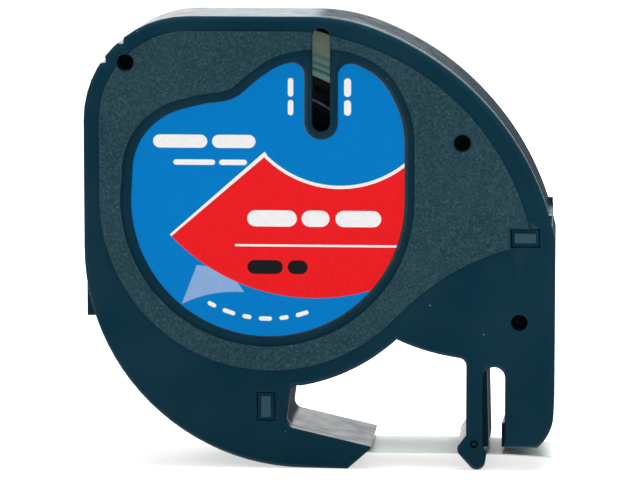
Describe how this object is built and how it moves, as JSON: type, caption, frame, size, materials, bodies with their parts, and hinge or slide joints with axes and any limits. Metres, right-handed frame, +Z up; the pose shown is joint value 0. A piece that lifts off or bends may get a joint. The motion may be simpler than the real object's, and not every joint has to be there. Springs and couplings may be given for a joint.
{
  "type": "label tape cassette",
  "caption": "Flat D-shaped tape cassette for a handheld label printer: snap-together shell, spool of label tape, guide roller, and a bare run of tape past a guide finger.",
  "frame": {"origin": "hub axis where it meets the flat rear face", "axes": "+Z up the face as the cassette stands, +X towards the free end of the tape, +Y out of the rear face along the hub axis"},
  "size_m": [0.061, 0.0165, 0.0584],
  "materials": {
    "shell_plastic": "dark blue-black moulded plastic, smooth satin border with a fine matte grain on the front panel",
    "printed_label": "printed self-adhesive label, blue field with a red band",
    "core_plastic": "black moulded plastic",
    "wound_tape": "edge of wound tape, pale beige with fine rings",
    "spring_steel": "drawn steel",
    "clear_film": "thin clear slip film",
    "tape_film": "off-white translucent label film",
    "liner_paper": "coated backing liner"
  },
  "bodies": {
    "housing": {"rear_housing": "shell_plastic", "slip_sheet_front": "clear_film", "slip_sheet_rear": "clear_film", "lead_tape": "tape_film", "tape_brake_leaf": "spring_steel"},
    "cover": {"front_cover": "shell_plastic", "face_label": "printed_label"},
    "spool": {"tape_core": "core_plastic", "tape_roll": "wound_tape", "brake_spring": "spring_steel"},
    "tape_strip": {"tape_film": "tape_film", "tape_liner_front": "liner_paper", "tape_liner_rear": "liner_paper"},
    "roller": {"guide_roller": "core_plastic"}
  },
  "joints": [
    {"name": "spool_spin", "type": "hinge", "parent": "housing", "child": "spool", "pos_m": [0, 0, 0], "axis": [0, -1, 0], "range_deg": [0, 25.3]},
    {"name": "tape_feed", "type": "slide", "parent": "housing", "child": "tape_strip", "axis": [1, 0, 0], "range_m": [0, 0.01]},
    {"name": "guide_roller_spin", "type": "hinge", "parent": "housing", "child": "roller", "pos_m": [0.001, 0, -0.03153], "axis": [0, -1, 0], "range_deg": [0, 440]},
    {"name": "cover_lift", "type": "slide", "parent": "housing", "child": "cover", "axis": [0, -1, 0], "range_m": [0, 0.03]}
  ],
  "couplings": [
    {"joint": "tape_feed", "follows": "spool_spin", "m_per_rad": 0.0226},
    {"joint": "guide_roller_spin", "follows": "spool_spin", "ratio": 17.385}
  ]
}
